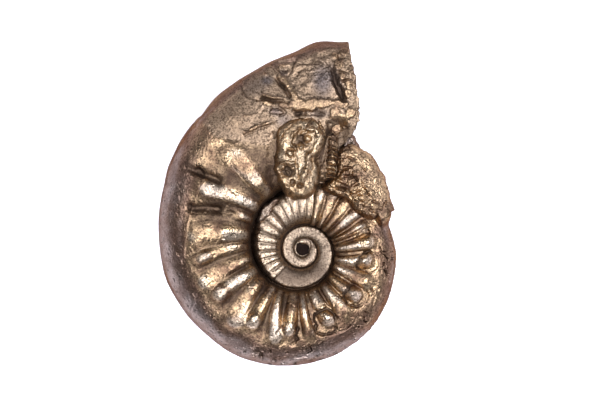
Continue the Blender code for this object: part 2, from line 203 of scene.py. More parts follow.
# The lumps of crystals: outline, centre, height of the crown with its slopes along X and Y, height of the foot
# and how square the edge is
LUMP_SHAPES = {
    "umbilical_lump": (
        ((-3.05, 13.6), (-2.1, 14.3), (-0.6, 14.8), (1.2, 14.9), (2, 14.3), (2.5, 13.1), (2.3, 11.7), (1.9, 10.9),
         (1.35, 10.5), (1.25, 9.9), (1.7, 8.8), (1.6, 7.5), (1.1, 6.4), (0.3, 5.7), (-0.8, 5.5), (-1.8, 5.9),
         (-2.6, 6.9), (-3.1, 8.1), (-3.45, 9.4), (-3.35, 11), (-3.2, 12.4)),
        (-0.6, 10.3), (6.25, 0, 0.03), 1.6, 4.2),
    "platelet_stack": (
        ((2.35, 14.3), (2.95, 14), (3.45, 13.2), (3.55, 12.2), (3.65, 11.2), (3.6, 10.2), (3.5, 9.2), (3.55, 8.3),
         (3.35, 7.7), (2.4, 7.7), (2, 8.3), (2.15, 9.2), (2.4, 10), (2.4, 10.9), (2.6, 11.8), (2.65, 12.6),
         (2.35, 13.4)),
        (2.95, 10.8), (5.3, -0.1, 0.04), 2, 3),
    "right_crust": (
        ((1.95, 6.9), (2.3, 7.6), (3.2, 8.3), (3.3, 9.4), (3.35, 10.6), (3.8, 11.5), (5.2, 11.9), (5.85, 11.4),
         (6.85, 11.05), (7.6, 10.3), (8.4, 9), (9.05, 7.4), (9.5, 5.8), (10.05, 4), (9.45, 3.5), (9.2, 3.75),
         (8.95, 4.35), (8.6, 3.9), (8, 3.45), (6.8, 3.4), (5.6, 4.3), (5, 5.2), (3.9, 5.9), (2.7, 6.3)),
        (6, 7.6), (4.35, -0.2, 0.03), 1.4, 3.6),
    "crystal_bed": (
        ((0.9, 7.7), (2.6, 7.6), (3, 9.3), (3, 11.5), (2.6, 13.2), (1.6, 13), (0.9, 11.6), (0.6, 9.6)),
        (1.9, 10.2), (4.9, -0.1, 0.04), 2.4, 3),
    "notch_rock": (
        ((3.2, 13.9), (4.3, 14.1), (4.85, 13.3), (4.95, 12.8), (5.6, 12.45), (5.95, 11.9), (6.3, 11.2), (5.6, 10.3),
         (4.3, 10), (3.3, 10.4), (3, 12)),
        (4.5, 11.9), (3.3, -0.25, 0.15), 0.2, 3),
    "umbilical_flake": (
        ((-5.2, 3.1), (-4.85, 3.9), (-4.45, 4.65), (-3.75, 5.35), (-2.9, 5.9), (-2.4, 5.95), (-2.9, 5.3),
         (-3.45, 4.85), (-3.7, 4.15), (-4.25, 3.45), (-4.85, 2.95)),
        (-3.9, 4.5), (2.75, 0.05, 0.05), 1, 4),
}
LUMP_RELIEF = {
    "umbilical_lump": (
        (-0.35, 12.1, 0.95, 0.85, 30, -0.55), (0.25, 12.3, 0.42, 0.42, 0, 0.62), (-0.45, 11.5, 0.38, 0.36, 0, 0.55),
        (-0.2, 12.9, 0.45, 0.16, 30, 0.25), (-1.68, 10.75, 0.4, 0.38, 0, 0.35), (-1.9, 8.8, 0.75, 0.6, 15, -0.65),
        (-1.9, 8.7, 0.22, 0.2, 0, 0.3), (-1.5, 9.1, 0.2, 0.18, 0, 0.28), (-2.3, 9.1, 0.18, 0.18, 0, 0.25),
        (-0.6, 7.35, 0.35, 0.28, 0, -0.5), (-1.4, 7.6, 0.25, 0.35, 0, -0.45), (-1.1, 6.5, 0.5, 0.4, 30, 0.32),
        (-0.4, 6.3, 0.42, 0.4, 0, 0.3), (0.3, 6.8, 0.4, 0.5, 0, 0.28), (0.9, 8, 0.55, 0.9, 0, -0.1),
        (1.4, 14, 0.4, 0.5, 0, 0.25), (1.9, 12.9, 0.35, 0.7, 0, 0.2), (0.9, 10.9, 0.4, 0.35, 0, 0.24),
        (-2.5, 12, 0.5, 1.1, 10, 0.12), (-0.6, 13.9, 0.9, 0.35, 8, 0.12), (-0.65, 9.2, 0.3, 1, 8, 0.1),
        (-2.2, 6.9, 0.4, 0.35, 0, 0.3), (0.9, 6.9, 0.4, 0.5, 0, 0.2), (0, 5.9, 0.8, 0.3, 0, -0.2),
    ),
    "right_crust": (
        (4.9, 11.4, 0.8, 0.5, 0, 0.3), (5.5, 10.9, 0.8, 0.6, 30, 0.2), (3.8, 8.3, 0.45, 0.4, 0, 0.45),
        (4.5, 8.6, 0.4, 0.35, 0, 0.35), (5.1, 9.6, 0.45, 0.35, 30, 0.3), (4.3, 7.9, 0.35, 0.3, 0, 0.35),
        (5.6, 8.5, 0.5, 0.4, 0, 0.28), (6.3, 8, 0.45, 0.5, 0, 0.26), (5, 7.6, 0.45, 0.4, 20, 0.4),
        (5.8, 7, 0.45, 0.4, 0, 0.35), (6.6, 6.7, 0.5, 0.4, -20, 0.3), (7.3, 6.1, 0.45, 0.5, 0, 0.3),
        (6.1, 5.9, 0.5, 0.4, 0, 0.4), (6.9, 5.2, 0.5, 0.4, 10, 0.4), (7.7, 4.9, 0.5, 0.45, 0, 0.4),
        (6.6, 4.3, 0.6, 0.4, -10, 0.35), (7.6, 4, 0.45, 0.35, 0, 0.35), (8.6, 4.6, 0.4, 0.5, 20, 0.3),
        (5.3, 5.6, 0.4, 0.4, 0, 0.3), (6.9, 9.4, 0.6, 0.4, 0, 0.15), (4.4, 9.8, 0.5, 0.4, 0, 0.2),
    ),
    "platelet_stack": (), "notch_rock": ((5.5, 11.5, 0.6, 0.5, 0, 0.3), (4.4, 11.2, 0.5, 0.8, 0, 0.3)),
    "umbilical_flake": (), "crystal_bed": (),
}
LUMP_LINES = {
    "umbilical_lump": (
        (((-3, 12.6), (-2.6, 13.7), (-1.6, 14.3), (-0.4, 14.5)), 0.28, 0.2),
        (((-2.6, 12.4), (-2.2, 13.2), (-1.4, 13.8)), 0.08, -0.2),
        (((0.3, 13.4), (1.2, 13.2), (1.5, 12.4), (1.3, 11.4)), 0.32, 0.36),
        (((-0.6, 13.4), (-1.4, 12.8), (-1.5, 11.9), (-1.1, 11.2)), 0.16, 0.3),
        (((-3.35, 9.45), (-2.3, 9.8), (-1.2, 9.8)), 0.15, 0.32),
        (((-2.2, 10.6), (-1.9, 11.3), (-1.3, 11.2), (-1.1, 10.6), (-1.6, 10.2), (-2.2, 10.6)), 0.07, -0.2),
        (((-3.1, 9.2), (-2.7, 8.3), (-2.2, 7.4), (-1.6, 6.8)), 0.24, 0.32),
        (((0.4, 10.6), (0.3, 9.6), (-0.2, 8.4), (-0.5, 7.7)), 0.36, 0.42),
        (((-1, 10.4), (-0.9, 9.2), (-0.8, 8)), 0.1, -0.25),
        (((0.75, 10.3), (0.85, 9.3), (0.6, 8.3)), 0.1, -0.28),
        (((1.1, 14.6), (1.6, 13.8), (2.1, 12.6)), 0.1, -0.4),
        (((0.6, 14.3), (0.2, 13.7)), 0.08, -0.3),
    ),
    "right_crust": (
        (((2.6, 7.35), (3.6, 7.45), (4.4, 7.2), (5.3, 6.6)), 0.26, 0.4),
        (((2.8, 6.95), (4, 6.85), (4.9, 6.3), (5.4, 5.4)), 0.12, -0.3),
        (((5, 8.3), (6.3, 7.4), (7.3, 5.6), (8.1, 5.3)), 0.1, -0.28),
        (((3.9, 10.2), (4.6, 10.3), (5.7, 9.9), (6.6, 8.8)), 0.12, -0.3),
        (((8.2, 3.7), (8.6, 4.5), (8.9, 5.3)), 0.14, -0.55),
        (((3.4, 8), (4.2, 9.2), (5.2, 9.1)), 0.1, -0.25),
    ),
    "platelet_stack": ((((2.4, 14), (2.75, 13.2), (3, 12.7)), 0.1, -0.3),),
    "notch_rock": ((((3.9, 13.5), (4.1, 12.2), (3.9, 10.9)), 0.25, -0.5),),
    "crystal_bed": ((((1.7, 12), (2, 10.6), (1.8, 9.2)), 0.2, -0.4),),
    "umbilical_flake": (
        (((-5, 3.3), (-4.3, 4.3), (-3.4, 5.2), (-2.6, 5.7)), 0.1, -0.15),
        (((-4.6, 3.3), (-4, 4), (-3.6, 4.7)), 0.07, -0.1),
    ),
}
# Rough grain of each lump, and the spacing and height of the platelets of the stack
LUMP_GRAIN = {"umbilical_lump": 0.4, "platelet_stack": 0.15, "right_crust": 0.8, "notch_rock": 0.8,
              "umbilical_flake": 0.2, "crystal_bed": 1}
PLATELET_STEP = 0.56
PLATELET_HEIGHT = 0.55

# Values at the points of each mesh, which the material reads
MARKS = ("hollow", "inner", "outer", "plate", "grey", "worn")
# Strips of the coil on its upper side and its underside: side, strips to the outer seam and strips beyond it
STRIPS = ((1.0, 24, 28), (-1.0, 12, 18))
UNDERSIDE_KNOBS = 0.4
# Ribs before this turn are round bells, older ones are narrower and sharper
OLD_RIBS = -170.0
MOUTH_ROWS = 58
# The pit: share of the way to the hole, or of the hole's radius once inside it, and depth
PIT_RINGS = ((0.2, -0.10), (0.5, -0.12), (0.8, -0.04), (0.95, 0.06), (1.0, 0.15), (1.02, 0.35),
             (0.9, 3.0), (0.4, 3.0), (0.0, 3.0))
PIT_SHARES_INSIDE = (0.9, 0.4, 0.0)
# How far the ends of a skin sink into the coil, in degrees at its first and its last turn
SKIN_ENDS = {"broken_flank": (1.2, 0.0), "left_flank": (0.0, 1.2), "right_flank": (2.0, 0.0)}
SKIN_THICKNESS = 0.9
SKIN_PROUD = 0.008
SKIN_SINK = 0.35
# Rings and spokes of each lump
LUMP_GRIDS = (("umbilical_lump", 150, 420), ("platelet_stack", 80, 260), ("right_crust", 150, 420),
              ("crystal_bed", 50, 200), ("notch_rock", 50, 160), ("umbilical_flake", 40, 160))
# Patterns, counted over a metre from their real sizes: blotches of tarnish 2.2 mm across and spots 0.6 mm across. The
# real grain is finer than a pixel (0.11 mm) and is drawn 0.19 mm across, so that it shows.
BLOTCHES = 0.45 / MM
SPOTS = 1.6 / MM
FINE_GRAIN = 5.2 / MM
# The camera straight above, in metres and millimetres of lens
CAMERA_PLACE = (0.0025, 0.00033)
CAMERA_HEIGHT = 0.30
CAMERA_LENS = 163.6
FLOOR_REACH = 1.5
FLOOR_GLOW = 0.62

# Softboxes: name, azimuth from +X, elevation, distance, size in metres, watts and tint
SOFTBOXES = (
    ("left_softbox", 158.0, 60.0, 0.50, 0.23, 1.30, "#F4F7FF"),
    ("right_softbox", 8.0, 60.0, 0.50, 0.30, 3.10, "#F4F7FF"),
    ("low_softbox", -100.0, 60.0, 0.50, 0.22, 1.45, "#F4F7FF"),
)


def smooth(low, high, value):
    """0 below low, 1 above high and an even S curve between them."""
    share = np.clip((value - low) / (high - low), 0.0, 1.0)
    return share * share * (3.0 - 2.0 * share)


def linear(hex_colour):
    """An sRGB hex colour as linear red, green, blue and alpha."""
    channels = [int(hex_colour[k : k + 2], 16) / 255 for k in (1, 3, 5)]
    return [c / 12.92 if c <= 0.04045 else ((c + 0.055) / 1.055) ** 2.4 for c in channels] + [1.0]


def grain(points, size, seed):
    """Smooth noise from -1 to 1: random values at the corners of a lattice of that size, blended between."""
    scaled = points / size
    cell = np.floor(scaled)
    within = scaled - cell
    within = within * within * (3.0 - 2.0 * within)
    total = np.zeros(points.shape[:-1])
    for corner in np.ndindex(2, 2, 2):
        at = cell + corner
        value = np.sin(at[..., 0] * 127.1 + at[..., 1] * 311.7 + at[..., 2] * 74.7 + seed) * 43758.5453
        weight = np.prod(np.where(corner, within, 1.0 - within), axis=-1)
        total += weight * (2.0 * (value - np.floor(value)) - 1.0)
    return total


def crumble(points, size, seed):
    """Noise from -1 to 1 with sharp crests, as broken crystal has: 1 less twice the noise without its sign."""
    return 1.0 - 2.0 * np.abs(grain(points, size, seed))


def lean_matrix():
    """Turn about Y, then about X."""
    a, b = math.radians(LEAN_ABOUT_X), math.radians(LEAN_ABOUT_Y)
    about_x = np.array([[1, 0, 0], [0, math.cos(a), -math.sin(a)], [0, math.sin(a), math.cos(a)]])
    about_y = np.array([[math.cos(b), 0, math.sin(b)], [0, 1, 0], [-math.sin(b), 0, math.cos(b)]])
    return about_x @ about_y


def placed(points):
    """Points about the coil's centre, leaned and moved as the solid rests. What would lie below the table is
    flattened by wear."""
    made = points @ lean_matrix().T + COIL_CENTRE
    made[..., 2] = np.maximum(made[..., 2], 0.0)
    return made


def seam_radius(turn):
    """The umbilical seam: a logarithmic spiral with a slow wobble."""
    wobble = 1.0 + SEAM_WOBBLE * np.cos(2 * math.pi * (turn + SEAM_WOBBLE_TURN) / SEAM_WOBBLE_TURN)
    return SEAM_RADIUS * np.exp(SEAM_GROWTH * turn) * wobble


def outer_radius(turn):
    """The outline: a logarithmic spiral that flares towards the mouth."""
    flare = np.maximum(0.0, (turn - BODY_TURN) / -BODY_TURN)
    return BODY_RADIUS * np.exp(BODY_GROWTH * (turn - BODY_TURN) + MOUTH_FLARE * flare**2)


def half_breadth(turn):
    """Half the thickness of the whorl."""
    return BODY_HALF_BREADTH * np.exp(BREADTH_GROWTH * (turn - BODY_TURN))


def section(turn):
    """Centre radius, radial half width and the seam's angle of the whorl's cross section."""
    seam_angle = math.asin(SEAM_LIFT ** (1.0 / WALL_POWER))
    reach = (outer_radius(turn) - seam_radius(turn)) / (1.0 + math.cos(seam_angle))
    return outer_radius(turn) - reach, reach, seam_angle


def mouth_reach(turn, share):
    """How far the flank runs on round the coil at the broken mouth, in degrees, with a splintered edge."""
    shares, degrees = zip(*BREAK_REACH)
    splinter = 0.5 * np.sin(61.0 * share + 1.0) * np.sin(23.0 * share) + 0.3 * np.sin(140.0 * share)
    return (np.interp(share, shares, degrees) + splinter * smooth(0.3, 0.45, share)) * smooth(BREAK_FROM, 0.0, turn)


def rib_height(turn, share, height, knobs):
    """Ribs and knobs: a bell along each rib's line, which leans back as it goes outwards, flat-topped on the young
    ribs and a clipped arch on the old ones, with a round bell at its end for the knob. The inner whorl has weaker
    ribs, and the first one beads. Also gives how much of a point is on a rib, from 0 to 1, and the knobs alone."""
    crests = np.zeros(np.broadcast(turn, share).shape)
    knobbed = np.zeros(crests.shape)
    for root, lean, reach, width, knob in RIBS:
        crest = root - lean * np.clip((share - 0.10) / 0.45, 0.0, 1.1)
        along = smooth(0.0, 0.09, share) * (1.0 - smooth(reach - 0.10, reach + 0.10, share))
        if root > OLD_RIBS:
            bell = np.exp(-(np.abs((turn - crest) / (1.28 * width)) ** 2.7))
        else:
            bell = np.clip(1.0 - np.abs((turn - crest) / (1.65 * width)) ** 2.2, 0.0, 1.0)
        crests = np.maximum(crests, bell * along)
        if knob:
            away = ((turn - crest) / (1.05 * width)) ** 2 + ((share - reach + 0.05) / 0.105) ** 2
            knobbed += knobs * knob / height * np.exp(-(away**1.5))
    relief = crests + knobbed
    for direction in INNER_RIBS:
        crest = MOUTH_DIRECTION - WHORL - direction - INNER_RIB_LEAN * share
        line = np.clip(1.0 - np.abs((turn - crest) / 6.4) ** 2.2, 0.0, 1.0) * smooth(0.02, 0.2, share)
        relief = np.maximum(relief, INNER_RIB_SHARE * line)
        crests = np.maximum(crests, line)
    crests = np.where(turn < OLD_RIBS, crests**0.5, crests)
    beads = 0.10 * (0.5 + 0.5 * np.cos(2 * math.pi * turn / 12.0)) * smooth(-560.0, -640.0, turn)
    return np.maximum(relief, beads * smooth(0.1, 0.4, share)), np.minimum(crests + knobbed, 1.0), knobbed


def whorl_angle(turn, across):
    """Angle round the cross section: across runs 0 to 1 from the inner seam to the outer seam, and 1 to 2 from
    there to the outer edge."""
    centre, reach, seam_angle = section(turn)
    outer_seam = np.arccos(np.clip((centre - seam_radius(turn + WHORL)) / reach, -0.95, 0.2))
    flank = (outer_seam - seam_angle) * np.minimum(across, 1.0)
    return seam_angle + flank + (math.pi - outer_seam) * np.maximum(across - 1.0, 0.0), outer_seam


def crust_sector(turn):
    """1 where the whorl carries the crust, 0 elsewhere."""
    direction = MOUTH_DIRECTION - turn - WHORL
    return np.where(turn < -WHORL / 2, smooth(CRUST_FROM - 7.0, CRUST_FROM + 2.0, direction), 0.0)


def crusted(turn, angle, outer_seam, radius, height):
    """Radius and height with the crust on the outer part of the whorl that carries it, squarer than the whorl."""
    direction = MOUTH_DIRECTION - turn - WHORL
    reach = CRUST_RADIUS + CRUST_RADIUS_STEP * (direction - CRUST_FROM) - outer_radius(turn)
    sector = crust_sector(turn)
    outward = np.clip((angle - outer_seam) / (math.pi - outer_seam), 0.0, 1.0)
    swell = CRUST_SWELL + CRUST_SWELL_STEP * (direction - CRUST_FROM)
    square = half_breadth(turn) * swell * (1.0 - outward**4) ** 0.5
    blend = sector * smooth(0.0, 0.25, outward)
    return radius + reach * sector * outward, height + (square - height) * blend


def surface_marks(points, turn, share, crests, knobbed, plates, gap):
    """What the material reads at each point, mostly from 0 to 1: the mark of the hollows, partly tarnished pyrite and
    partly painted shade, between the ribs, on the umbilical wall and in the seam's gap; inner on the first whorls;
    outer towards the rim, with streaks and patches, and on the right side less of it, as painted light; plate and
    grey on the broken flank; the mark of the crests and knobs, partly polish by handling and partly a painted
    highlight."""
    # Dark between the ribs: partly tarnished pyrite and partly painted shade in the grooves.
    hollow = smooth(0.03, 0.12, share) * (1.0 - smooth(0.45, 0.75, share)) * (1.0 - smooth(0.20, 0.72, crests))
    hollow = hollow * (0.5 + 0.5 * smooth(-620.0, -590.0, turn))
    hollow = hollow * (1.0 - 0.65 * smooth(-170.0, -200.0, turn) * smooth(-355.0, -335.0, turn))
    # Painted shade on the umbilical wall, wider under the body whorl, and in the seam's gap.
    wide_wall = 1.0 - smooth(-165.0, -135.0, turn)
    wall = (1.0 - smooth(0.05 - 0.03 * wide_wall, 0.13 - 0.06 * wide_wall, share)) * smooth(-WHORL, -340.0, turn)
    hollow = np.maximum(0.95 * hollow * (1.0 - plates), np.maximum(smooth(0.10, 0.45, gap), 0.7 * wall))
    inner = smooth(-330.0, -400.0, turn) * np.ones(share.shape)
    # Towards the rim a brown band and then a paler edge, the edge partly the venter's tone and partly a painted sheen
    # of the floor.
    outward = np.clip((share - 0.60) / 0.40, 0.0, 1.0) * (1.0 - inner)
    near_mouth = smooth(-80.0, -36.0, turn)
    outward = outward + (0.55 * smooth(0.90, 0.985, share) - outward) * near_mouth
    outward = outward * (1.0 - 0.5 * smooth(0.955, 0.995, share))
    along_rim = np.stack([turn * 0.09 + 0 * share, share * 16.0 + 0 * turn, 0 * share * turn], axis=-1)
    streaks = grain(along_rim, 1.0, 12.0)
    patchy = 1.0 + 0.34 * grain(points, 2.6, 9.0) + 0.26 * streaks + 0.16 * grain(points, 0.8, 13.0)
    # Painted light: the rim marks are weaker on the right side, where the light falls.
    painted_light_right = smooth(-340.0, -270.0, turn) * (1.0 - smooth(-250.0, -200.0, turn))
    outward = np.clip(outward * patchy * (1.0 - 0.50 * painted_light_right), 0.0, 1.0)
    outward = outward * (1.0 - 0.72 * crust_sector(turn))
    # Painted shade in the dark gap beside the notch and in a crevice by the crust.
    notch = np.clip(lumps(points[..., 0], points[..., 1], NOTCH_SHADE), 0.0, 1.0)
    hollow = np.maximum(hollow, notch * smooth(-60.0, -90.0, turn))
    # Painted highlight on the crests and knobs, partly also polish by handling.
    worn = smooth(0.45, 0.95, crests) * smooth(-0.35, 0.45, grain(points, 1.6, 10.0))
    worn = np.maximum(worn, smooth(0.25, 0.75, knobbed)) * (1.0 - inner) * (1.0 - plates)
    grey = plates * np.clip(lumps(points[..., 0], points[..., 1], GREY_PATCHES), 0.0, 1.0)
    return dict(zip(MARKS, (hollow, inner, outward, plates, grey, worn)))


def flank(turn, across, side, height_mm, knobs, extra=0.0):
    """Points of one side of the coil. Each lies on the whorl's section, a half ellipse with powers that make the
    umbilical wall steep, and is then raised along its normal by the ribs, the grain and what extra gives."""
    angle, outer_seam = whorl_angle(turn, across)
    centre, reach, _ = section(turn)
    radius = centre - reach * np.cos(angle)
    squarer = MOUTH_SQUARENESS * smooth(-70.0, -20.0, turn)
    power = np.where(angle < math.pi / 2, WALL_POWER, VENTER_POWER - squarer)
    height = half_breadth(turn) * np.maximum(np.sin(angle), 0.0) ** power
    radius, height = crusted(turn, angle, outer_seam, radius, height)
    share = (radius - seam_radius(turn)) / (outer_radius(turn) - seam_radius(turn))
    direction = np.radians(MOUTH_DIRECTION - turn - mouth_reach(turn, share))
    points = np.stack([radius * np.cos(direction), radius * np.sin(direction), height], axis=-1)
    normal = np.cross(np.gradient(points, axis=1), np.gradient(points, axis=0))
    normal /= np.maximum(np.linalg.norm(normal, axis=-1, keepdims=True), 1e-9)
    normal *= np.where(normal[..., 2:3] < 0, -1.0, 1.0)
    equator = across >= 2.0
    normal[..., 2] = np.where(equator, 0.0, normal[..., 2])
    plates = plate_zone(points)
    varied = 0.85 + 0.40 * grain(points, 2.4, 5.0) + 0.15 * grain(points, 0.9, 6.0)
    ribs, crests, knobbed = rib_height(turn, share, height_mm, knobs)
    ribs = ribs * (1.0 - plates)
    rough = grain(points, 1.8, 1.0) * 0.05 + grain(points, 0.7, 2.0) * 0.014 + grain(points, 0.3, 3.0) * 0.006
    swell = 0.16 * grain(points, 3.4, 4.0) * smooth(0.55, 0.85, share) * smooth(-WHORL, -300.0, turn)
    swell = swell + SHOULDER[0] * np.exp(-(((turn - SHOULDER[1]) / SHOULDER[2]) ** 2)) * smooth(0.60, 0.95, share)
    size = np.minimum(1.0, half_breadth(turn) / 2.2)
    gap = seam_gap(turn, share, radius)
    relief = height_mm * ribs * varied * size + rough * size + swell - PLATE_DROP * plates + extra
    relief = relief + lumps(points[..., 0], points[..., 1], NOTCH_HOLLOW) * smooth(-60.0, -50.0, turn)
    points = points + normal * relief[..., None]
    points[..., 2] -= np.where(equator, 0.0, gap)
    points[..., 2] = np.where(equator, 0.0, np.maximum(points[..., 2], 0.02))
    marks = surface_marks(points, turn, share, crests, knobbed, plates, gap / size)
    return points * [1.0, 1.0, side], marks


def plate_zone(points):
    """1 where the outer layer is broken off above the edge of the plates, 0 below it, with a ragged edge."""
    edge_x, edge_y = zip(*PLATE_EDGE)
    above = points[..., 1] - np.interp(points[..., 0], edge_x, edge_y)
    ragged = 0.40 * grain(points, 1.1, 51.0) + 0.16 * grain(points, 0.35, 52.0)
    return smooth(-0.30, 0.30, above + ragged) * smooth(5.5, 7.5, points[..., 1])


def seam_gap(turn, share, radius):
    """Depth of the dark gap along the seam: a narrow bell at the foot of each whorl's wall, wider and deeper
    under the body whorl from 100 to 230 degrees."""
    direction = MOUTH_DIRECTION - turn

    def wide(at):
        return smooth(95.0, 115.0, at) * (1.0 - smooth(205.0, 240.0, at))

    size = np.minimum(1.0, half_breadth(turn) / 2.6)
    foot = (radius - seam_radius(turn)) / ((0.24 + 0.20 * wide(direction)) * size)
    top = (seam_radius(turn + WHORL) - radius) / ((0.24 + 0.30 * wide(direction - WHORL)) * size)
    covered = 1.0 - smooth(-WHORL - 4.0, -WHORL, turn)
    depth = (0.55 + 0.5 * wide(direction - WHORL)) * covered
    return (0.5 + 0.6 * wide(direction)) * size * np.exp(-(foot**2)) + depth * size * np.exp(-(top**2))


def lumps(x, y, rows):
    """Height of lumps over the plan: each an oval bell, flat on top, that falls away past its half widths."""
    total = np.zeros(x.shape)
    for at_x, at_y, long_, short, turned, height in rows:
        a = math.radians(turned)
        along = ((x - at_x) * math.cos(a) + (y - at_y) * math.sin(a)) / long_
        across = ((y - at_y) * math.cos(a) - (x - at_x) * math.sin(a)) / short
        total += height * np.exp(-((along**2 + across**2) ** 1.6))
    return total


def ridges(x, y, rows):
    """Height of ridges and cracks over the plan: a bell of the distance to the line through their points, whose
    height comes and goes along it."""
    total = np.zeros(x.shape)
    comes_and_goes = 0.85 + 0.75 * grain(np.stack([x, y, 0 * x], axis=-1), 0.8, 11.0)
    for line, width, height in rows:
        uneven = np.clip(comes_and_goes, 0.8 if width > 0.4 else 0.15, 1.5)
        near = np.full(x.shape, 1e9)
        for (ax, ay), (bx, by) in zip(line[:-1], line[1:]):
            length2 = (bx - ax) ** 2 + (by - ay) ** 2
            share = np.clip(((x - ax) * (bx - ax) + (y - ay) * (by - ay)) / length2, 0.0, 1.0)
            near = np.minimum(near, np.hypot(x - ax - share * (bx - ax), y - ay - share * (by - ay)))
        total += height * uneven * np.exp(-((near / width) ** 2))
    return total


def mouth_detail(points):
    """Relief of the broken flank near the mouth: plates parted by cracks, a round sunken plate, ridges and rows
    of lumps, with a rough grain that is finer than they are."""
    flat = points * [1.0, 1.0, 0.0]
    x = points[..., 0] + 0.06 * grain(flat, 0.7, 21.0) + 0.05 * grain(flat, 0.25, 25.0)
    y = points[..., 1] + 0.06 * grain(flat, 0.7, 22.0) + 0.05 * grain(flat, 0.25, 26.0)
    at_x, at_y, radius, depth, rim = ROUND_PLATE
    away = np.hypot(x - at_x, y - at_y)
    upper = smooth(-0.3, 0.7, (y - at_y) / radius)
    plate = -depth * (1.0 - smooth(radius - 0.5, radius, away + 0.25 * grain(flat, 1.0, 27.0)))
    plate = plate * (0.3 + 0.7 * upper) + rim * upper * np.exp(-(((away - radius) / 0.18) ** 2))
    bands = ridges(x, y, MOUTH_LINES) + lumps(x, y, MOUTH_LUMPS)
    keen = plate_zone(points) * (1.0 - np.clip(lumps(x, y, SMOOTH_PATCHES), 0.0, 1.0))
    keen = keen * smooth(-0.5, 0.3, grain(flat, 1.5, 38.0))
    coarse = smooth(0.12, 0.30, np.abs(bands)) * keen
    rough = (0.012 + 0.035 * keen + 0.05 * coarse) * crumble(points, 0.62, 23.0)
    rough += (0.010 + 0.040 * keen + 0.03 * coarse) * crumble(points, 0.26, 24.0)
    rough += (0.004 + 0.018 * keen) * crumble(points, 0.14, 28.0)
    return plate + bands + rough


def flank_detail(points):
    """Relief of the whorl's flank: dark grooves and scratches, skin flaked off round the knobs with a ragged
    crack at its edge, and pits towards the outer edge."""
    flat = points * [1.0, 1.0, 0.0]
    x = points[..., 0] + 0.08 * grain(flat, 0.6, 61.0)
    y = points[..., 1] + 0.08 * grain(flat, 0.6, 62.0)
    relief = ridges(x, y, FLANK_LINES)
    radius = np.hypot(x, y)
    direction = np.degrees(np.arctan2(y, x)) % WHORL
    for at, far, half_turn, half_length in FLAKED:
        turned = (direction - at + 180.0) % WHORL - 180.0
        out = (np.abs(turned / half_turn) ** 2.6 + np.abs((radius - far) / half_length) ** 2.6) ** (1 / 2.6)
        out += 0.16 * grain(flat, 0.8, at) + 0.10 * grain(flat, 0.3, at + 1.0)
        torn = smooth(-0.60, 0.15, grain(flat, 1.3, at + 2.0))
        relief -= 0.14 * (1.0 - smooth(0.88, 1.0, out)) + 0.36 * torn * np.exp(-(((out - 0.98) / 0.10) ** 2))
    low = smooth(225.0, 250.0, direction) * smooth(-0.35, 0.1, grain(flat, 3.0, 63.0))
    far_out = smooth(0.80, 0.88, radius / outer_radius(MOUTH_DIRECTION - direction - WHORL * (direction < 80.0)))
    relief -= 0.34 * smooth(0.42, 0.62, grain(points, 0.46, 64.0)) * low * far_out
    relief += 0.05 * smooth(0.15, 0.40, grain(points, 0.46, 64.0)) * low * far_out
    relief -= 0.07 * smooth(0.55, 0.75, grain(points, 0.30, 65.0))
    return relief + 0.006 * crumble(points, 0.38, 66.0) + 0.005 * crumble(points, 0.18, 67.0)


def lump_detail(name, x, y):
    """Relief of a lump of crystals over the plan: its bumps, hollows, ridges and cracks, a crumbled grain, and
    for the stack of platelets a saw tooth along it."""
    at = np.stack([x, y, 0 * x], axis=-1)
    wavy_x = x + 0.10 * grain(at, 0.5, 31.0) + 0.04 * grain(at, 0.2, 35.0)
    wavy_y = y + 0.10 * grain(at, 0.5, 32.0) + 0.04 * grain(at, 0.2, 36.0)
    rough = LUMP_GRAIN[name] * (0.12 * crumble(at, 0.62, 33.0) + 0.07 * crumble(at, 0.27, 34.0))
    relief = lumps(wavy_x, wavy_y, LUMP_RELIEF[name]) + ridges(wavy_x, wavy_y, LUMP_LINES[name]) + rough
    if name == "right_crust":
        relief *= 1.0 - 0.62 * smooth(5.9, 7.3, x + 0.55 * (y - 7.0) + 0.5 * grain(at, 0.9, 37.0))
        relief += 0.030 * crumble(at, 0.24, 38.0) + 0.02 * crumble(at, 0.15, 39.0)
    if name == "platelet_stack":
        along = (wavy_y + 0.35 * (wavy_x - 2.9) ** 2 + 0.25 * wavy_x) / PLATELET_STEP
        tooth = along - np.floor(along)
        relief += PLATELET_HEIGHT * (np.minimum(tooth, 5.0 * (1.0 - tooth)) - 0.5)
    return relief


